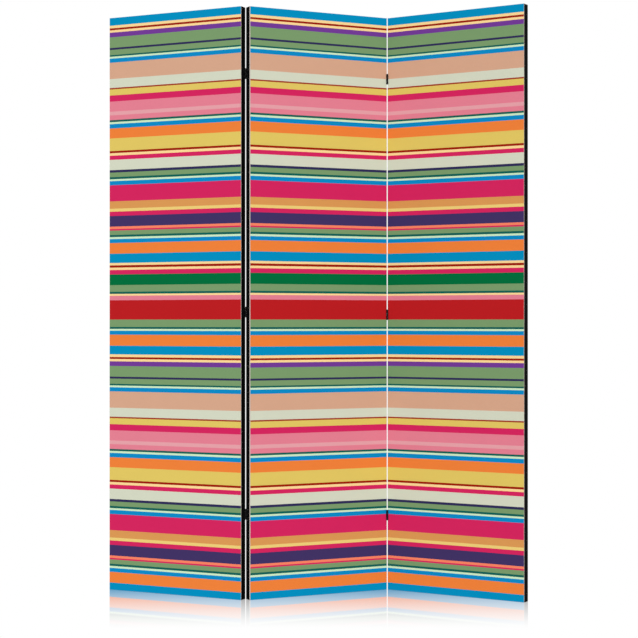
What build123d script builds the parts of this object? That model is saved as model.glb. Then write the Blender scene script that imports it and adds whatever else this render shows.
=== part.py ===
"""Three-panel folding screen, standing in a zigzag.

Millimetres. +Z is up, +X runs to the right along the screen and +Y to its back. The origin is at floor
level, in the middle of the screen's bounding box. Each panel is a black frame of two stiles and two rails
with a printed canvas on both faces, and each seam turns on three small butt hinges.

A panel's own frame has x across it from its left edge, y from its front face to its back face, and z up.
A hinge's own frame has its pin on z, with the panel of one leaf towards +x and both panels towards -y.
"""

import os

from build123d import *

# Panels
PANEL_WIDTH = 450.0
PANEL_HEIGHT = 1720.0
PANEL_DEPTH = 25.0
STILE_WIDTH = 28.0
RAIL_HEIGHT = 28.0
CANVAS_THICKNESS = 1.0
FRAME_EDGE_RADIUS = 1.0

# How far each panel is turned from the screen's own plane, in degrees
LEFT_YAW = -26.0
MIDDLE_YAW = 26.0
RIGHT_YAW = -32.0

# Seams: how far the hinge line stands beyond a panel's edge, and beyond its face
EDGE_GAP = 0.5
FACE_GAP = 2.5

# Hinges
HINGE_HEIGHT = 30.0
TOP_HINGE_DROPS = {"left_seam": 192.0, "right_seam": 184.0}
MIDDLE_HINGE_DROPS = {"left_seam": 26.0, "right_seam": 33.0}
BOTTOM_HINGE_RISES = {"left_seam": 246.0, "right_seam": 224.0}
LEAF_WIDTH = 18.0
LEAF_THICKNESS = 1.2
LEAF_PROUD = 0.25
LEAF_CLEARANCE = 0.1
BARREL_CLEARANCE = 0.4
KNUCKLES = 5
KNUCKLE_GAP = 0.3
TURNING_GAP = 0.3
PIN_RADIUS = 1.0
PIN_CLEARANCE = 0.05
PIN_HEAD_RADIUS = 1.6
PIN_HEAD_HEIGHT = 0.8

# Countersunk screws
SCREW_RADIUS = 1.2
SCREW_HEAD_RADIUS = 2.3
SCREW_LENGTH = 14.0
SCREW_CLEARANCE = 0.05
SCREW_TIP_LENGTH = 3.0
SCREW_TIP_RADIUS = 0.3
SCREW_RECESS_LENGTH = 2.8
SCREW_RECESS_WIDTH = 0.6
SCREW_RECESS_DEPTH = 0.5
SCREWS_PER_LEAF = 2
HOLE_END_ROOM = 0.5

# What follows from the sizes above
RAIL_LENGTH = PANEL_WIDTH - 2 * STILE_WIDTH
BARREL_RADIUS = FACE_GAP - BARREL_CLEARANCE
BORE_RADIUS = PIN_RADIUS + PIN_CLEARANCE
LEAF_FRONT = EDGE_GAP - LEAF_PROUD
LEAF_BACK = LEAF_FRONT + LEAF_THICKNESS
SCREW_HEAD_DEPTH = SCREW_HEAD_RADIUS - SCREW_RADIUS
SCREW_INSET = FACE_GAP + LEAF_WIDTH / 2
BOTTOM_UP = (Align.CENTER, Align.CENTER, Align.MIN)


def block(x_low, x_high, y_low, y_high, z_low, z_high):
    """A box between two corners."""
    box = Box(x_high - x_low, y_high - y_low, z_high - z_low, align=(Align.MIN, Align.MIN, Align.MIN))
    return Pos(x_low, y_low, z_low) * box


def seam_places():
    """Where each panel stands, and where each seam's hinge line stands in the two panels that it joins."""
    middle = Rot(0, 0, MIDDLE_YAW)
    left_seam = Pos(-EDGE_GAP, PANEL_DEPTH + FACE_GAP, 0)
    right_seam = Pos(PANEL_WIDTH + EDGE_GAP, -FACE_GAP, 0)
    left = (
        middle
        * left_seam
        * Rot(0, 0, LEFT_YAW - MIDDLE_YAW)
        * Pos(-PANEL_WIDTH - EDGE_GAP, -PANEL_DEPTH - FACE_GAP, 0)
    )
    right = middle * right_seam * Rot(0, 0, RIGHT_YAW - MIDDLE_YAW) * Pos(EDGE_GAP, FACE_GAP, 0)

    placed = {"left": left, "middle": middle, "right": right}
    corners = [
        (place * Pos(x, y, 0)).position
        for place in placed.values()
        for x in (0, PANEL_WIDTH)
        for y in (0, PANEL_DEPTH)
    ]
    centre_x = (min(c.X for c in corners) + max(c.X for c in corners)) / 2
    centre_y = (min(c.Y for c in corners) + max(c.Y for c in corners)) / 2
    return {name: Pos(-centre_x, -centre_y, 0) * place for name, place in placed.items()}


def hinge_heights(seam):
    """The height of the middle of each of a seam's hinges."""
    return {
        "top": PANEL_HEIGHT - TOP_HINGE_DROPS[seam],
        "middle": PANEL_HEIGHT / 2 - MIDDLE_HINGE_DROPS[seam],
        "bottom": BOTTOM_HINGE_RISES[seam],
    }


def hinge_lines():
    """Each seam's hinge frame at floor level, in the frames of the two panels that it joins."""
    turned = Rot(0, 0, 180)
    return {
        "left_seam": {
            "middle": Pos(-EDGE_GAP, PANEL_DEPTH + FACE_GAP, 0),
            "left": Pos(PANEL_WIDTH + EDGE_GAP, PANEL_DEPTH + FACE_GAP, 0),
        },
        "right_seam": {
            "middle": Pos(PANEL_WIDTH + EDGE_GAP, -FACE_GAP, 0) * turned,
            "right": Pos(-EDGE_GAP, -FACE_GAP, 0) * turned,
        },
    }


# ---- Hinge pieces, in the hinge's own frame ----


def screw_heights():
    """The heights of a leaf's screws, from the middle of the hinge."""
    pitch = HINGE_HEIGHT / SCREWS_PER_LEAF
    return [pitch * (i + 0.5) - HINGE_HEIGHT / 2 for i in range(SCREWS_PER_LEAF)]


def screw_frames(side):
    """Where each screw's head lies on a leaf, with z out of the leaf's face. side is 1 towards +x, or -1."""
    return [
        Pos(side * LEAF_FRONT, -SCREW_INSET, z) * Rot(0, -90 * side, 0) for z in screw_heights()
    ]


def screw_body(clearance, length):
    """A countersunk screw's outline, head upwards with its top at z = 0, made larger all round by clearance."""
    radius = SCREW_RADIUS + clearance
    head = Pos(0, 0, -SCREW_HEAD_DEPTH) * Cone(
        radius, SCREW_HEAD_RADIUS + clearance, SCREW_HEAD_DEPTH, align=BOTTOM_UP
    )
    shank = Pos(0, 0, -length) * Cylinder(radius, length - SCREW_HEAD_DEPTH, align=BOTTOM_UP)
    return head + shank


def screw():
    """One pointed wood screw with a cross recess."""
    straight = SCREW_LENGTH - SCREW_TIP_LENGTH
    tip = Pos(0, 0, -SCREW_LENGTH) * Cone(
        SCREW_TIP_RADIUS, SCREW_RADIUS, SCREW_TIP_LENGTH, align=BOTTOM_UP
    )
    cut = Pos(0, 0, -SCREW_RECESS_DEPTH / 2) * (
        Box(SCREW_RECESS_LENGTH, SCREW_RECESS_WIDTH, SCREW_RECESS_DEPTH)
        + Box(SCREW_RECESS_WIDTH, SCREW_RECESS_LENGTH, SCREW_RECESS_DEPTH)
    )
    return screw_body(0, straight) + tip - cut


def knuckle_spans(first):
    """The heights of every second knuckle, starting from number first."""
    pitch = HINGE_HEIGHT / KNUCKLES
    spans = []
    for i in range(first, KNUCKLES, 2):
        low = -HINGE_HEIGHT / 2 + i * pitch
        bottom_gap = KNUCKLE_GAP / 2 if i > 0 else 0
        top_gap = KNUCKLE_GAP / 2 if i < KNUCKLES - 1 else 0
        spans.append((low + bottom_gap, low + pitch - top_gap))
    return spans


def leaf(side, first_knuckle):
    """A hinge leaf with its knuckles, for the panel towards +x (side 1) or -x (side -1)."""
    x_low, x_high = sorted((side * LEAF_FRONT, side * LEAF_BACK))
    half = HINGE_HEIGHT / 2
    plate_top = -(BARREL_RADIUS + TURNING_GAP)
    solid = block(x_low, x_high, -FACE_GAP - LEAF_WIDTH, plate_top, -half, half)
    for low, high in knuckle_spans(first_knuckle):
        solid += block(x_low, x_high, plate_top, -BORE_RADIUS - PIN_CLEARANCE, low, high)
        barrel = Pos(0, 0, low) * Cylinder(BARREL_RADIUS, high - low, align=BOTTOM_UP)
        solid += barrel
    solid -= Cylinder(BORE_RADIUS, 2 * HINGE_HEIGHT)
    for frame in screw_frames(side):
        solid -= frame * screw_body(SCREW_CLEARANCE, SCREW_LENGTH)
    return solid


def mortise(side):
    """The room for a sunk leaf in the edge of its panel."""
    x_low, x_high = sorted((0, side * LEAF_BACK))
    half = HINGE_HEIGHT / 2 + LEAF_CLEARANCE
    return block(x_low, x_high, -FACE_GAP - LEAF_WIDTH - LEAF_CLEARANCE, 0, -half, half)


def pin():
    """The hinge pin with a flat head on each end of the barrel."""
    half = HINGE_HEIGHT / 2
    solid = Cylinder(PIN_RADIUS, HINGE_HEIGHT)
    solid += Pos(0, 0, half) * Cylinder(PIN_HEAD_RADIUS, PIN_HEAD_HEIGHT, align=BOTTOM_UP)
    solid += Pos(0, 0, -half - PIN_HEAD_HEIGHT) * Cylinder(
        PIN_HEAD_RADIUS, PIN_HEAD_HEIGHT, align=BOTTOM_UP
    )
    return solid


# ---- Panel pieces, in the panel's own frame ----


def drilled(solid, seam, line, side):
    """A piece at a panel's edge with the mortises and screw holes of its three hinges."""
    for height in hinge_heights(seam).values():
        place = line * Pos(0, 0, height)
        solid -= place * mortise(side)
        for frame in screw_frames(side):
            solid -= place * frame * screw_body(SCREW_CLEARANCE, SCREW_LENGTH + HOLE_END_ROOM)
    return solid


def stile(at_left):
    """An upright of the frame, with its two outer long edges slightly rounded."""
    x_low = 0 if at_left else PANEL_WIDTH - STILE_WIDTH
    solid = block(
        x_low,
        x_low + STILE_WIDTH,
        CANVAS_THICKNESS,
        PANEL_DEPTH - CANVAS_THICKNESS,
        0,
        PANEL_HEIGHT,
    )
    outer_x = 0 if at_left else PANEL_WIDTH
    outer_edges = [e for e in solid.edges().filter_by(Axis.Z) if abs(e.center().X - outer_x) < 0.01]
    return fillet(outer_edges, FRAME_EDGE_RADIUS)


def rail(at_top):
    """A cross piece between the two stiles."""
    z_low = PANEL_HEIGHT - RAIL_HEIGHT if at_top else 0
    return block(
        STILE_WIDTH,
        STILE_WIDTH + RAIL_LENGTH,
        CANVAS_THICKNESS,
        PANEL_DEPTH - CANVAS_THICKNESS,
        z_low,
        z_low + RAIL_HEIGHT,
    )


def canvas(at_front):
    """The printed cloth over one whole face."""
    y_low = 0 if at_front else PANEL_DEPTH - CANVAS_THICKNESS
    return block(0, PANEL_WIDTH, y_low, y_low + CANVAS_THICKNESS, 0, PANEL_HEIGHT)


# ---- Assembly ----


def panel_nodes(panel, lines):
    """One panel's frame and canvases, with holes for the hinges on its own edges. lines are those of its seams."""
    nodes = {
        f"{panel}_stile_left": stile(True),
        f"{panel}_stile_right": stile(False),
        f"{panel}_rail_top": rail(True),
        f"{panel}_rail_bottom": rail(False),
        f"{panel}_canvas_front": canvas(True),
        f"{panel}_canvas_back": canvas(False),
    }
    for seam, line in lines.items():
        at_left = line.position.X < PANEL_WIDTH / 2
        at_front = line.position.Y < PANEL_DEPTH / 2
        side = 1 if panel == "middle" else -1
        for piece in (
            f"stile_{'left' if at_left else 'right'}",
            f"canvas_{'front' if at_front else 'back'}",
        ):
            nodes[f"{panel}_{piece}"] = drilled(nodes[f"{panel}_{piece}"], seam, line, side)
    return nodes


def hinge_nodes(seam, lines):
    """One seam's leaves and pins, and the screws in each of its two stiles, with the panel that each is on."""
    nodes = {}
    for panel, line in lines.items():
        side, first_knuckle = (1, 0) if panel == "middle" else (-1, 1)
        screws = []
        for level, height in hinge_heights(seam).items():
            place = line * Pos(0, 0, height)
            nodes[f"{seam}_{level}_leaf_{panel}"] = (panel, place * leaf(side, first_knuckle))
            screws += [place * frame * screw() for frame in screw_frames(side)]
            if panel == "middle":
                nodes[f"{seam}_{level}_pin"] = (panel, place * pin())
        nodes[f"{seam}_screws_{panel}"] = (panel, Compound(screws))
    return nodes


def main():
    os.makedirs("parts", exist_ok=True)
    places = seam_places()
    lines = hinge_lines()

    nodes = {}
    for panel, place in places.items():
        own_lines = {seam: joined[panel] for seam, joined in lines.items() if panel in joined}
        for name, solid in panel_nodes(panel, own_lines).items():
            nodes[name] = place * solid
    for seam, seam_lines in lines.items():
        for name, (panel, solid) in hinge_nodes(seam, seam_lines).items():
            nodes[name] = places[panel] * solid

    for name, solid in nodes.items():
        export_step(solid, f"parts/{name}.step")
    for seam, seam_lines in lines.items():
        axis = (places["middle"] * seam_lines["middle"]).position
        print(f"{seam} hinge line at x {axis.X:.4f}, y {axis.Y:.4f} mm")
    for panel, place in places.items():
        foot = (place * Pos(PANEL_WIDTH / 2, PANEL_DEPTH / 2, 0)).position
        print(f"{panel} panel stands at x {foot.X:.4f}, y {foot.Y:.4f} mm")


main()
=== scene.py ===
"""Looks of the three-panel folding screen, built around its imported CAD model.

Metres, in the model's own frame: +Z is up, the screen faces -Y, and it stands on z = 0. The stiles and rails
of each panel, the hinges and the screws are the CAD nodes themselves, with new materials. Each of the six
printed canvases is made here as one thin stretched cloth with its stripes, weave and cut edges.
"""

import math
from types import SimpleNamespace

import bpy
import numpy as np
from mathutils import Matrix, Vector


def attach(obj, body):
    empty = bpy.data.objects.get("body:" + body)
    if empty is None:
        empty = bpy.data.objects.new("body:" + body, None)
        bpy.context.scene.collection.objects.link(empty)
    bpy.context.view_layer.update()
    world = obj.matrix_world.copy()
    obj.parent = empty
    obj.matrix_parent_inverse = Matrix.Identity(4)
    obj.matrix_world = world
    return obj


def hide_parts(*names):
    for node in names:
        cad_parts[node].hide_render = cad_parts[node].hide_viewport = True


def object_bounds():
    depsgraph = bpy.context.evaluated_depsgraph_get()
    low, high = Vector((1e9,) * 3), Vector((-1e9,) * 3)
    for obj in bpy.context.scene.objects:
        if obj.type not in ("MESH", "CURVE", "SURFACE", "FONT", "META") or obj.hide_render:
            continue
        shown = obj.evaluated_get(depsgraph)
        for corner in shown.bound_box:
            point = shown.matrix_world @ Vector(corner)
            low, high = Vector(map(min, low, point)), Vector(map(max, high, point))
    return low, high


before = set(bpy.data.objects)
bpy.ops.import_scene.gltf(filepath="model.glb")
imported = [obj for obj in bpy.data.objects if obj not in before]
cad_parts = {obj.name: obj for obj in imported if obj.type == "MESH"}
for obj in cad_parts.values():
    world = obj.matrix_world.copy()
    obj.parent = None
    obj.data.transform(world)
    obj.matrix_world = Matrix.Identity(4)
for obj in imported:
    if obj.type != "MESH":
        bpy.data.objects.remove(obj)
cad_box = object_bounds()

MM = 0.001
PANELS = ("left", "middle", "right")
FACES = ("front", "back")
SIDES = ("left", "right")

# The print's inks, the raw cloth and its blackened edge, as sRGB from 0 to 255.
INKS = {
    "sky_blue": (1, 141, 190),
    "bright_blue": (10, 136, 195),
    "cream": (250, 215, 150),
    "dark_red": (155, 30, 12),
    "purple": (113, 58, 148),
    "sage": (120, 153, 106),
    "navy": (48, 45, 85),
    "bottle": (15, 95, 85),
    "mint": (205, 233, 195),
    "tan": (212, 165, 137),
    "off_white": (210, 214, 193),
    "brick": (160, 60, 40),
    "yellow": (223, 197, 98),
    "crimson": (210, 37, 93),
    "pink": (226, 127, 145),
    "light_pink": (227, 160, 167),
    "orange": (237, 128, 57),
    "ochre": (216, 151, 84),
    "pale_yellow": (235, 205, 120),
    "dark_violet": (64, 50, 99),
    "coral": (245, 130, 98),
    "deep_green": (0, 108, 59),
    "red": (185, 29, 33),
    "raw": (200, 190, 183),
    "edge_black": (6, 6, 7),
}

# One repeat of the stripes from the top down: ink and width in millimetres.
STRIPES = (
    ("sky_blue", 26), ("cream", 8), ("dark_red", 6), ("cream", 7), ("purple", 14), ("sage", 32),
    ("navy", 6), ("sage", 15.5), ("bottle", 5), ("mint", 5.5), ("bright_blue", 12.5), ("tan", 49),
    ("off_white", 27), ("brick", 4.5), ("yellow", 18), ("crimson", 18.5), ("pink", 30.5),
    ("light_pink", 11), ("pink", 14.5), ("bottle", 6), ("mint", 6), ("bright_blue", 13),
    ("orange", 30), ("yellow", 38), ("dark_red", 6.5), ("cream", 7.5), ("crimson", 12.5),
    ("off_white", 31), ("navy", 7.5), ("sage", 13.5), ("bottle", 6.5), ("mint", 5.5),
    ("bright_blue", 12.5), ("crimson", 48.5), ("ochre", 22), ("pale_yellow", 9), ("crimson", 13),
    ("dark_violet", 32), ("coral", 7.5), ("crimson", 4.5), ("sage", 13), ("bottle", 6.5),
    ("mint", 6), ("bright_blue", 12), ("orange", 32), ("sky_blue", 28), ("cream", 7),
    ("dark_red", 7), ("cream", 7), ("crimson", 13.5), ("deep_green", 32), ("sage", 20),
    ("bottle", 6.5), ("cream", 5.5), ("pink", 13.5), ("red", 58), ("sage", 22), ("bottle", 6),
    ("mint", 5.5), ("bright_blue", 12), ("orange", 33),
)
STRIPES_START = 3 * MM  # the first stripe starts this far above the cloth's top edge

# Unprinted cloth along the left and the right edge of each face, as its viewer sees them.
THIN_MARGIN = 0.8 * MM
WIDE_MARGIN = 2.5 * MM
RAW_MARGINS = {
    ("left", "front"): (0, THIN_MARGIN),
    ("middle", "front"): (WIDE_MARGIN, 0),
    ("right", "front"): (0, THIN_MARGIN),
    ("left", "back"): (THIN_MARGIN, THIN_MARGIN),
    ("middle", "back"): (THIN_MARGIN, THIN_MARGIN),
    ("right", "back"): (THIN_MARGIN, THIN_MARGIN),
}

# The cloth's shape
CLOTH_CLEARANCE = 0.03 * MM  # between the cloth's back and the frame
CLOTH_OVERHANG = 0.4 * MM  # past each side of the panel
EDGE_ROUNDING = 0.2 * MM
EDGE_STEPS = 3
BLACK_TURN = 1.8 * MM  # the frame's black paint on the cloth's back, in from each side
NOTCH_CLEARANCE = 0.1 * MM  # around a hinge leaf that passes through the cloth
CELL_WIDTH = 10 * MM
CELL_HEIGHT = 12 * MM
SHARP_ANGLE = 50  # degrees between two faces of the cloth
FREE_EASE = 45 * MM  # how far from the frame the cloth takes to reach its full give
GIVE = 0.3 * MM  # how far the free cloth lies in behind the plane of the frame
RIPPLE = 0.2 * MM
RIPPLE_LENGTH = 72 * MM
RIPPLE_FADE = 40 * MM

# How the cloth's grid is divided
PLACE_DIGITS = 6  # decimals of a metre that its edges are rounded to
STEP_SLACK = 1e-6  # share of a step, so that rounding adds no extra one

# The cloth's bake map, as shares of the map: the outer face's bands, then the inner face, then the edges.
BAKE_BANDS = 4
BAKE_OUTER_WIDTH = 0.94
BAKE_INNER_START, BAKE_INNER_WIDTH = 0.945, 0.02
BAKE_EDGE_START, BAKE_EDGE_WIDTH = 0.975, 0.015
BAKE_RIM = 0.004


# ---- Panels and their faces ----


def points_of(node):
    """The places of a CAD node's vertices."""
    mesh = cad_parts[node].data
    places = np.empty(len(mesh.vertices) * 3)
    mesh.vertices.foreach_get("co", places)
    return places.reshape(-1, 3)


def panel_frame(panel):
    """A panel's lower left front corner, its directions and its size."""
    rail = points_of(f"{panel}_rail_top")
    spread, directions = np.linalg.eigh(np.cov(rail[:, :2].T))
    across = np.append(directions[:, np.argmax(spread)], 0)
    across *= np.sign(across[0])
    inward = np.array((-across[1], across[0], 0))

    edges = np.concatenate([points_of(f"{panel}_stile_{side}") for side in SIDES])
    faces = np.concatenate([points_of(f"{panel}_canvas_{side}") for side in FACES])
    left, right = (edges @ across).min(), (edges @ across).max()
    front, back = (faces @ inward).min(), (faces @ inward).max()
    return SimpleNamespace(
        corner=left * across + front * inward,
        across=across,
        inward=inward,
        width=right - left,
        depth=back - front,
        height=edges[:, 2].max(),
    )


def face_frame(panel, side):
    """The same for the cloth on one face, as its viewer sees it: the back is a front turned round."""
    face = panel_frame(panel)
    if side == "back":
        face.corner = face.corner + face.width * face.across + face.depth * face.inward
        face.across = -face.across
        face.inward = -face.inward
    face.corner = face.corner - CLOTH_OVERHANG * face.across
    face.width += 2 * CLOTH_OVERHANG
    return face


def in_face(face, points):
    """Points as x across the face, y behind it and z up."""
    away = points - face.corner
    return np.stack([away @ face.across, away @ face.inward, points[:, 2]], 1)


def notches(panel, face):
    """Where hinge leaves pass through a face's edges: their low and high x and z."""
    found = []
    for name in sorted(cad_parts):
        if "_leaf_" not in name or not name.endswith(panel):
            continue
        x, y, z = in_face(face, points_of(name)).T
        if y.min() > 0:
            continue
        inside = np.clip(x, 0, face.width)
        found.append((inside.min(), inside.max(), z.min(), z.max()))
    return found


# ---- The cloth's grid and its inks ----


def divided(edges, longest):
    """Sorted edges with more between them, so that no step is longer than longest."""
    edges = sorted(set(round(float(e), PLACE_DIGITS) for e in edges))
    places = [edges[0]]
    for low, high in zip(edges, edges[1:]):
        steps = max(1, math.ceil((high - low) / longest - STEP_SLACK))
        places += [low + (high - low) * (i + 1) / steps for i in range(steps)]
    return np.array(places)


def stripe_rows(height):
    """Each stripe's ink and its low and high z on a cloth of this height, from the top down."""
    rows = []
    top = height + STRIPES_START
    i = 0
    while top > 0:
        ink, width = STRIPES[i % len(STRIPES)]
        bottom = top - width * MM
        rows.append((ink, max(bottom, 0), min(top, height)))
        top = bottom
        i += 1
    return rows


def cloth_columns(face, margins, cuts):
    """The x of the cloth's columns: rounded edges, unprinted margins, black paint, notches and even cells."""
    turns = [math.pi / 2 * i / EDGE_STEPS for i in range(EDGE_STEPS + 1)]
    rounding = [EDGE_ROUNDING * (1 - math.cos(turn)) for turn in turns]
    edges = rounding + [face.width - r for r in rounding]
    edges += [margins[0], face.width - margins[1], BLACK_TURN, face.width - BLACK_TURN]
    for low, high, _, _ in cuts:
        edges.append(high + NOTCH_CLEARANCE if low < face.width / 2 else low - NOTCH_CLEARANCE)
    return divided(edges, CELL_WIDTH)


def cloth_rows(face, stripes, cuts):
    """The z of the cloth's rows: stripe edges, hinge notches, bands of the bake and even cells."""
    edges = [z for _, low, high in stripes for z in (low, high)]
    edges += [face.height * i / BAKE_BANDS for i in range(BAKE_BANDS + 1)]
    for _, _, low, high in cuts:
        edges += [low - NOTCH_CLEARANCE, high + NOTCH_CLEARANCE]
    return divided(edges, CELL_HEIGHT)


def cell_inks(face, margins, stripes, columns, rows):
    """The ink of each cell of the cloth's outer face, by column and row."""
    x = (columns[1:] + columns[:-1]) / 2
    z = (rows[1:] + rows[:-1]) / 2
    inks = {}
    for j, height in enumerate(z):
        stripe = next(ink for ink, low, high in stripes if low <= height <= high)
        for i, place in enumerate(x):
            bare = place < margins[0] or place > face.width - margins[1]
            inks[i, j] = "raw" if bare else stripe
    return inks


def cut_notches(inks, columns, rows, cuts):
    """Takes out the cells that the hinge leaves pass through."""
    room = NOTCH_CLEARANCE
    for low, high, bottom, top in cuts:
        for i, j in list(inks):
            x = (columns[i] + columns[i + 1]) / 2
            z = (rows[j] + rows[j + 1]) / 2
            if low - room < x < high + room and bottom - room < z < top + room:
                del inks[i, j]


def back_ink(face, x):
    """The ink of the cloth's back at x: black where the paint of the frame's edge has run onto it."""
    painted = min(x, face.width - x) < BLACK_TURN
    return "edge_black" if painted else "raw"


def linear(ink):
    """An ink's colour as linear RGBA, by the sRGB formula."""
    channels = [c / 255 for c in INKS[ink]]
    return [c / 12.92 if c <= 0.04045 else ((c + 0.055) / 1.055) ** 2.4 for c in channels] + [1.0]


# ---- The cloth's mesh ----


def smooth_step(x):
    """0 below 0, 1 above 1, and a smooth rise between."""
    x = np.clip(x, 0, 1)
    return x * x * (3 - 2 * x)


def give(face, frame_width, x, z):
    """How far the cloth lies in at x, z: none over the frame, with faint pulls that die out from its edge."""
    to_edge = np.minimum.reduce([x, face.width - x, z, face.height - z]) - frame_width
    free = smooth_step(to_edge / FREE_EASE)
    along = np.where(np.minimum(x, face.width - x) < np.minimum(z, face.height - z), z, x)
    pulls = 0.5 + 0.5 * np.sin(2 * math.pi * along / RIPPLE_LENGTH)
    fading = np.exp(-np.clip(to_edge, 0, None) / RIPPLE_FADE)
    return free * (GIVE + RIPPLE * pulls * fading)


def edge_drop(face, x):
    """How far the rounded edge of the cloth falls away at x."""
    near = np.minimum(x, face.width - x)
    turn = np.clip(1 - near / EDGE_ROUNDING, 0, 1)
    return EDGE_ROUNDING * (1 - np.sqrt(1 - turn * turn))


def cloth_faces(cells):
    """The quads of a closed slab: each one's kind, its cell and its four (layer, column, row) corners."""
    quads = []
    for i, j in cells:
        ring = [(i, j), (i + 1, j), (i + 1, j + 1), (i, j + 1)]
        quads.append(("outer", (i, j), [(0, *p) for p in ring]))
        quads.append(("inner", (i, j), [(1, *p) for p in reversed(ring)]))
        neighbours = [(i, j - 1), (i + 1, j), (i, j + 1), (i - 1, j)]
        for k, neighbour in enumerate(neighbours):
            if neighbour not in cells:
                a, b = ring[k], ring[(k + 1) % 4]
                quads.append(("edge", (i, j), [(0, *b), (0, *a), (1, *a), (1, *b)]))
    return quads


def cloth_places(panel, side, face, corners, columns, rows):
    """Where the slab's corners lie in the model's frame."""
    cad_depth = in_face(face, points_of(f"{panel}_canvas_{side}"))[:, 1]
    thickness = cad_depth.max() - CLOTH_CLEARANCE
    stile = in_face(face, points_of(f"{panel}_stile_left"))[:, 0]
    frame_width = stile.max() - stile.min() + CLOTH_OVERHANG

    layer, column, row = np.array(corners).T
    x, z = columns[column], rows[row]
    y = give(face, frame_width, x, z) + np.where(layer == 0, edge_drop(face, x), thickness)
    return face.corner + np.outer(x, face.across) + np.outer(y, face.inward) + np.outer(z, (0, 0, 1))


def print_inks(mesh, quads, face, inks, columns):
    """Puts the inks on the mesh, one colour on each quad."""
    colours = []
    for kind, (i, j), corners in quads:
        back = back_ink(face, (columns[i] + columns[i + 1]) / 2)
        ink = {"outer": inks[i, j], "inner": back, "edge": "edge_black"}[kind]
        colours += linear(ink) * len(corners)
    mesh.color_attributes.new("print", "FLOAT_COLOR", "CORNER").data.foreach_set("color", colours)


def bake_place(kind, band, x, z, layer):
    """A corner's place on the bake's map, which lays the outer face out as bands side by side."""
    v = BAKE_RIM + (1 - 2 * BAKE_RIM) * z
    if kind == "outer":
        room = BAKE_OUTER_WIDTH / BAKE_BANDS
        return room * band + BAKE_RIM + (room - 2 * BAKE_RIM) * x, v
    if kind == "inner":
        return BAKE_INNER_START + BAKE_INNER_WIDTH * x, v
    return BAKE_EDGE_START + BAKE_EDGE_WIDTH * layer, v


def lay_out(mesh, quads, face, columns, rows):
    """Adds the mesh's two maps: metres on the cloth for its weave, and places on the bake."""
    cloth_map, bake_map = [], []
    for kind, (_, j), corners in quads:
        middle = (rows[j] + rows[j + 1]) / 2
        band = int(middle / face.height * BAKE_BANDS)
        for layer, column, row in corners:
            up = rows[row] / face.height
            if kind == "outer":
                up = up * BAKE_BANDS - band
            cloth_map += [columns[column], rows[row]]
            bake_map += bake_place(kind, band, columns[column] / face.width, up, layer)
    mesh.uv_layers.new(name="cloth").data.foreach_set("uv", cloth_map)
    mesh.uv_layers.new(name="OFBake").data.foreach_set("uv", bake_map)


def make_cloth(name, panel, side):
    """One printed canvas, a closed thin slab of cloth over a whole face of a panel, and its flat size."""
    face = face_frame(panel, side)
    margins = RAW_MARGINS[panel, side]
    cuts = notches(panel, face)
    stripes = stripe_rows(face.height)
    columns = cloth_columns(face, margins, cuts)
    rows = cloth_rows(face, stripes, cuts)
    inks = cell_inks(face, margins, stripes, columns, rows)
    cut_notches(inks, columns, rows, cuts)

    quads = cloth_faces(inks)
    used = sorted({corner for _, _, corners in quads for corner in corners})
    number = {corner: i for i, corner in enumerate(used)}
    places = cloth_places(panel, side, face, used, columns, rows)

    mesh = bpy.data.meshes.new(name)
    mesh.from_pydata(places.tolist(), [], [[number[c] for c in corners] for _, _, corners in quads])
    print_inks(mesh, quads, face, inks, columns)
    lay_out(mesh, quads, face, columns, rows)
    mesh.shade_smooth()
    mesh.set_sharp_from_angle(angle=math.radians(SHARP_ANGLE))
    mesh.update()

    piece = bpy.data.objects.new(name, mesh)
    bpy.context.scene.collection.objects.link(piece)
    return piece, (face.width, face.height)


# ---- Materials ----

# A pair is a range: of tone, of roughness, or of the noise over which patches of wear set in. The scales of
# the noises are per metre.

# Printed canvas. Its inks are scaled by the sum of the three tones, one of them painted shade of the weave:
# darker between the threads and lighter on their crowns.
THREAD_PITCH = 0.9 * MM
THREAD_TURNOVER = 0.4  # how softly the upper thread changes at a crossing
# Painted shade of the weave: the inks darker in the hollows between threads and lighter on their crowns.
THREAD_SHADE = (-0.04, 0.028)
THREAD_ROUGHNESS = (0.95, 0.8)
MOTTLE_SCALE = 14.0
MOTTLE_TONE = (-0.025, 0.025)
SLUB_SCALE = (60, 900, 1)
SLUB_TONE = (0.98, 1.02)
SLUB_HEIGHT = 0.5  # of a thread's height
CANVAS_SPECULAR = 0.03
CANVAS_BUMP = 0.12 * MM
CANVAS_BUMP_STRENGTH = 0.6

# Black paint on wood
GRAIN_ALONG, GRAIN_ACROSS = 3.0, 110.0
GRAIN_SCALE = 4.0
PAINT_MOTTLE_SCALE = 9.0
WOOD_PATCHES = (0.45, 0.75)
PAINT_DARK = (0.0005, 0.0005, 0.0006, 1)
PAINT_LIGHT = (0.004, 0.0038, 0.0037, 1)
BARE_WOOD = (0.03, 0.022, 0.016, 1)
WOOD_WEAR = 0.35  # share of bare wood where an edge is fully worn
WOOD_WEAR_RADIUS = 0.6 * MM
WOOD_ROUGHNESS = (0.5, 0.75)
WOOD_SPECULAR = 0.015
WOOD_BUMP = 0.15 * MM
WOOD_BUMP_STRENGTH = 0.5

# Blackened steel
BRUSHING_SCALE = (900, 900, 60)
STEEL_MOTTLE_SCALE = 220.0
STEEL_PATCHES = (0.35, 0.7)
STEEL_DARK = (0.0025, 0.0025, 0.003, 1)
STEEL_LIGHT = (0.006, 0.006, 0.007, 1)
BARE_STEEL = (0.2, 0.19, 0.18, 1)
HINGE_WEAR = 0.5  # share of bare steel where an edge is fully worn
SCREW_WEAR = 0.9
STEEL_WEAR_RADIUS = 0.15 * MM
STEEL_ROUGHNESS = (0.32, 0.5)
STEEL_SPECULAR = 0.2
STEEL_BUMP = 0.02 * MM
STEEL_BUMP_STRENGTH = 0.4

# The cosine of the turn between a place's own and its rounded normal
EDGE_COSINE = 0.75  # turned this far or further, it is fully on an edge
FLAT_COSINE = 0.99  # turned less than this, it is on a flat


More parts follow.
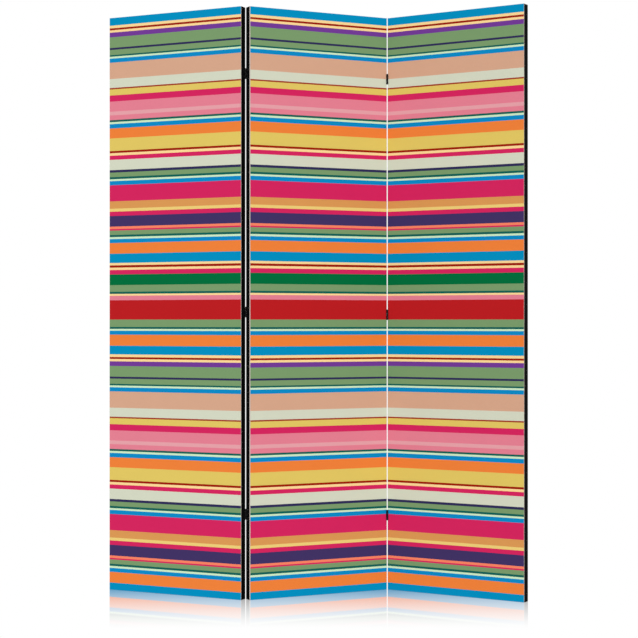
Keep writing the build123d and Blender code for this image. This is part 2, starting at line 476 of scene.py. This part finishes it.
class Nodes:
    """A new material's node tree, with short calls to add and join nodes."""

    def __init__(self, name):
        self.material = bpy.data.materials.new(name)
        self.material.use_nodes = True
        self.tree = self.material.node_tree
        self.shader = self.tree.nodes["Principled BSDF"]

    def add(self, kind, **inputs):
        """Adds a node. Inputs by name are joined where they are sockets and set where they are values."""
        node = self.tree.nodes.new(kind)
        for key, value in inputs.items():
            self.feed(node, key.replace("_", " "), value)
        return node

    def feed(self, node, key, value):
        """Joins a socket to a node's input, or sets the input to a value."""
        socket = node.inputs[int(key) if key.isdigit() else key]
        if isinstance(value, bpy.types.NodeSocket):
            self.tree.links.new(value, socket)
        else:
            socket.default_value = value

    def math(self, operation, a, b=0.0):
        """The result of a math node on one or two values."""
        node = self.tree.nodes.new("ShaderNodeMath")
        node.operation = operation
        self.feed(node, "0", a)
        self.feed(node, "1", b)
        return node.outputs[0]

    def noise(self, vector, scale, detail, rough=0.5):
        """Noise from 0 to 1."""
        node = self.add("ShaderNodeTexNoise", Vector=vector, Scale=scale, Detail=detail, Roughness=rough)
        return node.outputs["Fac"]

    def mapped(self, vector, scale, turn=0.0):
        """A vector scaled, then turned about z."""
        node = self.add("ShaderNodeMapping", Vector=vector, Scale=scale)
        node.inputs["Rotation"].default_value = (0, 0, turn)
        return node.outputs["Vector"]

    def span(self, value, low, high, from_low=0.0, from_high=1.0):
        """A value of the range from_low to from_high, laid onto low to high."""
        node = self.tree.nodes.new("ShaderNodeMapRange")
        ends = {"From Min": from_low, "From Max": from_high, "To Min": low, "To Max": high}
        self.feed(node, "Value", value)
        for key, number in ends.items():
            self.feed(node, key, number)
        return node.outputs["Result"]

    def mixed(self, share, low, high):
        """A colour between two, by share."""
        node = self.tree.nodes.new("ShaderNodeMix")
        node.data_type = "RGBA"
        self.feed(node, "0", share)
        self.feed(node, "6", low)
        self.feed(node, "7", high)
        return node.outputs[2]

    def scaled(self, colour, factor):
        """A colour times a number."""
        node = self.tree.nodes.new("ShaderNodeVectorMath")
        node.operation = "SCALE"
        self.feed(node, "0", colour)
        self.feed(node, "Scale", factor)
        return node.outputs["Vector"]

    def bump(self, height, distance, strength):
        """A normal that follows small heights."""
        node = self.add("ShaderNodeBump", Height=height, Distance=distance, Strength=strength)
        return node.outputs["Normal"]

    def object_places(self):
        """The places on a piece, in metres, that move with it."""
        return self.tree.nodes.new("ShaderNodeTexCoord").outputs["Object"]

    def edge_wear(self, radius):
        """How much each place is on an outside edge, from the turn between its own and its rounded normal."""
        rounded = self.add("ShaderNodeBevel", Radius=radius)
        normal = self.tree.nodes.new("ShaderNodeNewGeometry").outputs["Normal"]
        turn = self.tree.nodes.new("ShaderNodeVectorMath")
        turn.operation = "DOT_PRODUCT"
        self.feed(turn, "0", rounded.outputs["Normal"])
        self.feed(turn, "1", normal)
        return self.span(turn.outputs["Value"], 1.0, 0.0, EDGE_COSINE, FLAT_COSINE)

    def finish(self, **inputs):
        """Feeds the material's shader and gives the material."""
        for key, value in inputs.items():
            self.feed(self.shader, key.replace("_", " "), value)
        return self.material


def weave(nodes, cloth_uv):
    """The height of a plain weave: at each crossing the warp or the weft thread is on top."""
    parts = nodes.add("ShaderNodeSeparateXYZ", Vector=cloth_uv)
    turn = math.pi / THREAD_PITCH
    across = nodes.math("SINE", nodes.math("MULTIPLY", parts.outputs["X"], turn))
    up = nodes.math("SINE", nodes.math("MULTIPLY", parts.outputs["Y"], turn))
    crossing = nodes.math("MULTIPLY", across, up)
    warp_over = nodes.span(crossing, 0.0, 1.0, -THREAD_TURNOVER, THREAD_TURNOVER)
    weft_over = nodes.math("SUBTRACT", 1.0, warp_over)
    warp = nodes.math("MULTIPLY", nodes.math("ABSOLUTE", across), warp_over)
    weft = nodes.math("MULTIPLY", nodes.math("ABSOLUTE", up), weft_over)
    return nodes.math("ADD", warp, weft)


def printed_canvas():
    """Matt printed canvas: its inks, uneven threads, a plain weave and the weave's painted shade."""
    nodes = Nodes("printed_canvas")
    cloth_map = nodes.tree.nodes.new("ShaderNodeUVMap")
    cloth_map.uv_map = "cloth"
    cloth_uv = cloth_map.outputs["UV"]
    inks = nodes.tree.nodes.new("ShaderNodeVertexColor")
    inks.layer_name = "print"

    threads = weave(nodes, cloth_uv)
    slubs = nodes.noise(nodes.mapped(cloth_uv, SLUB_SCALE), 1.0, detail=3.0)
    mottle = nodes.noise(cloth_uv, MOTTLE_SCALE, detail=4.0)
    # The threads' part of the tone is painted shade: darker in the weave's hollows, lighter on its crowns.
    tone = nodes.math("ADD", nodes.span(threads, *THREAD_SHADE), nodes.span(mottle, *MOTTLE_TONE))
    tone = nodes.math("ADD", tone, nodes.span(slubs, *SLUB_TONE))
    height = nodes.math("ADD", threads, nodes.math("MULTIPLY", slubs, SLUB_HEIGHT))
    return nodes.finish(
        Base_Color=nodes.scaled(inks.outputs["Color"], tone),
        Roughness=nodes.span(threads, *THREAD_ROUGHNESS),
        Specular_IOR_Level=CANVAS_SPECULAR,
        Normal=nodes.bump(height, CANVAS_BUMP, CANVAS_BUMP_STRENGTH),
    )


def black_wood(name, yaw, upright):
    """Wood under thin black paint, with the grain along the piece. yaw is its panel's turn about z."""
    nodes = Nodes(name)
    scale = (GRAIN_ALONG, GRAIN_ACROSS, GRAIN_ACROSS)
    if upright:
        scale = (GRAIN_ACROSS, GRAIN_ACROSS, GRAIN_ALONG)
    turned = nodes.mapped(nodes.object_places(), (1, 1, 1), -yaw)
    grain = nodes.noise(nodes.mapped(turned, scale), GRAIN_SCALE, detail=5.0, rough=0.6)
    mottle = nodes.noise(turned, PAINT_MOTTLE_SCALE, detail=3.0)
    patches = nodes.span(mottle, 0.0, 1.0, *WOOD_PATCHES)
    worn = nodes.math("MULTIPLY", nodes.edge_wear(WOOD_WEAR_RADIUS), patches)
    paint = nodes.mixed(grain, PAINT_DARK, PAINT_LIGHT)
    return nodes.finish(
        Base_Color=nodes.mixed(nodes.math("MULTIPLY", worn, WOOD_WEAR), paint, BARE_WOOD),
        Roughness=nodes.span(grain, *WOOD_ROUGHNESS),
        Specular_IOR_Level=WOOD_SPECULAR,
        Normal=nodes.bump(grain, WOOD_BUMP, WOOD_BUMP_STRENGTH),
    )


def black_steel(name, wear):
    """Blackened steel with fine brushing, worn brighter on its edges."""
    nodes = Nodes(name)
    places = nodes.object_places()
    brushing = nodes.noise(nodes.mapped(places, BRUSHING_SCALE), 1.0, detail=4.0)
    mottle = nodes.noise(places, STEEL_MOTTLE_SCALE, detail=3.0)
    patches = nodes.span(mottle, 0.0, wear, *STEEL_PATCHES)
    worn = nodes.math("MULTIPLY", nodes.edge_wear(STEEL_WEAR_RADIUS), patches)
    skin = nodes.mixed(brushing, STEEL_DARK, STEEL_LIGHT)
    return nodes.finish(
        Base_Color=nodes.mixed(worn, skin, BARE_STEEL),
        Roughness=nodes.span(mottle, *STEEL_ROUGHNESS),
        Specular_IOR_Level=STEEL_SPECULAR,
        Normal=nodes.bump(brushing, STEEL_BUMP, STEEL_BUMP_STRENGTH),
    )


# ---- The screen's pieces ----


def dress(names, material):
    """Gives CAD nodes a material of their own."""
    for name in names:
        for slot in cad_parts[name].material_slots:
            slot.material = material


def dress_frame():
    """Puts black wood on the stiles and rails, and black steel on the hinges and screws."""
    for panel in PANELS:
        across = panel_frame(panel).across
        yaw = math.atan2(across[1], across[0])
        stiles = [f"{panel}_stile_{side}" for side in SIDES]
        rails = [f"{panel}_rail_{end}" for end in ("top", "bottom")]
        dress(stiles, black_wood(f"{panel}_stile_wood", yaw, upright=True))
        dress(rails, black_wood(f"{panel}_rail_wood", yaw, upright=False))
    hinges = [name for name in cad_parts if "_leaf_" in name or name.endswith("_pin")]
    screws = [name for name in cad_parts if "_screws_" in name]
    dress(hinges, black_steel("hinge_steel", HINGE_WEAR))
    dress(screws, black_steel("screw_steel", SCREW_WEAR))


def hang_prints():
    """Makes the six canvases and fixes them to their panels."""
    canvas = printed_canvas()
    for panel in PANELS:
        for side in FACES:
            piece, flat = make_cloth(f"{panel}_print_{side}", panel, side)
            piece.data.materials.append(canvas)
            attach(piece, f"{panel}_panel")
            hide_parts(f"{panel}_canvas_{side}")


# ---- Camera, light and floor ----

CAMERA_LENS = 96.05  # millimetres
CAMERA_SENSOR = 36  # millimetres
CAMERA_PLACE = (0.0141, -5.0176, 0.8066)
CAMERA_TILT = 90.085  # degrees up from straight down

WHITE = (1, 1, 1, 1)
AMBIENT = 0.58  # of white, on a matt white surface under the room's light alone
KEY = 0.53  # of white, on a matt white surface that faces one lamp
KEY_SOFTNESS = 40  # degrees across
KEY_HEIGHT = 24  # degrees above the floor

FLOOR_SIZE = 60
FLOOR_DROP = 0.2 * MM  # below the feet
POLISHED_X = (-1.5, 1.5)
POLISHED_Y = (-1.0, 1.2)
POLISHED_LINES = 121
POLISH_ROUGHNESS = 0.04
SHINE = 0.9  # share of a mirror, where it is strongest
SHINE_BACK = 0.13  # how far behind the middle of the screen that is
SHINE_REACH = 0.67  # how far from there the mirror ends
SHINE_FALL = 1.3  # power of the fall to there


def add_camera():
    """A long lens straight in front of the screen, at about half its height."""
    camera = bpy.data.objects.new("camera", bpy.data.cameras.new("camera"))
    camera.data.lens = CAMERA_LENS
    camera.data.sensor_width = CAMERA_SENSOR
    camera.location = CAMERA_PLACE
    camera.rotation_euler = (math.radians(CAMERA_TILT), 0, 0)
    bpy.context.scene.collection.objects.link(camera)
    bpy.context.scene.camera = camera


def add_world():
    """A white room: full white to the eye and in reflections, and an even, softer light on matt surfaces."""
    world = bpy.data.worlds.new("white_room")
    world.use_nodes = True
    bpy.context.scene.world = world
    nodes, links = world.node_tree.nodes, world.node_tree.links
    ray = nodes.new("ShaderNodeLightPath")
    strength = nodes.new("ShaderNodeMapRange")
    strength.inputs["To Min"].default_value = 1.0
    strength.inputs["To Max"].default_value = AMBIENT
    background = nodes["Background"]
    background.inputs["Color"].default_value = WHITE
    links.new(ray.outputs["Is Diffuse Ray"], strength.inputs["Value"])
    links.new(strength.outputs["Result"], background.inputs["Strength"])


def add_key(name, turn):
    """A wide soft lamp that no reflection shows: in front of the screen at turn 0, behind it at turn 180."""
    lamp = bpy.data.lights.new(name, "SUN")
    lamp.energy = KEY * math.pi
    lamp.angle = math.radians(KEY_SOFTNESS)
    lamp_object = bpy.data.objects.new(name, lamp)
    lamp_object.rotation_euler = (math.radians(90 - KEY_HEIGHT), 0, math.radians(turn))
    lamp_object.visible_glossy = False
    bpy.context.scene.collection.objects.link(lamp_object)


def floor_shine(x, y):
    """How strongly the floor mirrors the screen's foot at x, y: less and less away from it."""
    beyond = np.clip(np.abs(x) - cad_box[1][0], 0, None)
    away = np.hypot(beyond, y - SHINE_BACK)
    return SHINE * np.clip(1 - away / SHINE_REACH, 0, 1) ** SHINE_FALL


def floor_lines(low, high):
    """The floor's grid lines on one axis: close together round the screen, with one far out on each side."""
    near = np.linspace(low, high, POLISHED_LINES)
    return np.concatenate([[-FLOOR_SIZE / 2], near, [FLOOR_SIZE / 2]])


def floor_material():
    """An even white glow, mixed with a mirror by the floor's shine."""
    nodes = Nodes("white_floor")
    shine = nodes.tree.nodes.new("ShaderNodeAttribute")
    shine.attribute_name = "shine"
    glow = nodes.add("ShaderNodeEmission", Color=WHITE, Strength=1.0)
    polish = nodes.add("ShaderNodeBsdfGlossy", Color=WHITE, Roughness=POLISH_ROUGHNESS)
    surface = nodes.tree.nodes.new("ShaderNodeMixShader")
    nodes.feed(surface, "0", shine.outputs["Fac"])
    nodes.feed(surface, "1", glow.outputs[0])
    nodes.feed(surface, "2", polish.outputs[0])
    nodes.feed(nodes.tree.nodes["Material Output"], "Surface", surface.outputs[0])
    return nodes.material


def add_floor():
    """A white floor that glows evenly, with a soft polish round the screen's foot."""
    xs = floor_lines(*POLISHED_X)
    ys = floor_lines(*POLISHED_Y)
    grid_x, grid_y = np.meshgrid(xs, ys)
    places = np.stack([grid_x, grid_y, np.full_like(grid_x, -FLOOR_DROP)], -1).reshape(-1, 3)
    count = len(xs)
    starts = [row * count + i for row in range(len(ys) - 1) for i in range(count - 1)]
    mesh = bpy.data.meshes.new("floor")
    mesh.from_pydata(places.tolist(), [], [(s, s + 1, s + 1 + count, s + count) for s in starts])
    shine = floor_shine(grid_x, grid_y).reshape(-1)
    mesh.attributes.new("shine", "FLOAT", "POINT").data.foreach_set("value", shine)
    mesh.materials.append(floor_material())
    floor = bpy.data.objects.new("floor", mesh)
    floor.visible_diffuse = False
    bpy.context.scene.collection.objects.link(floor)


bpy.context.scene.view_settings.view_transform = "Standard"
add_camera()
add_world()
add_key("key", 0)
add_key("back_key", 180)
add_floor()
dress_frame()
hang_prints()
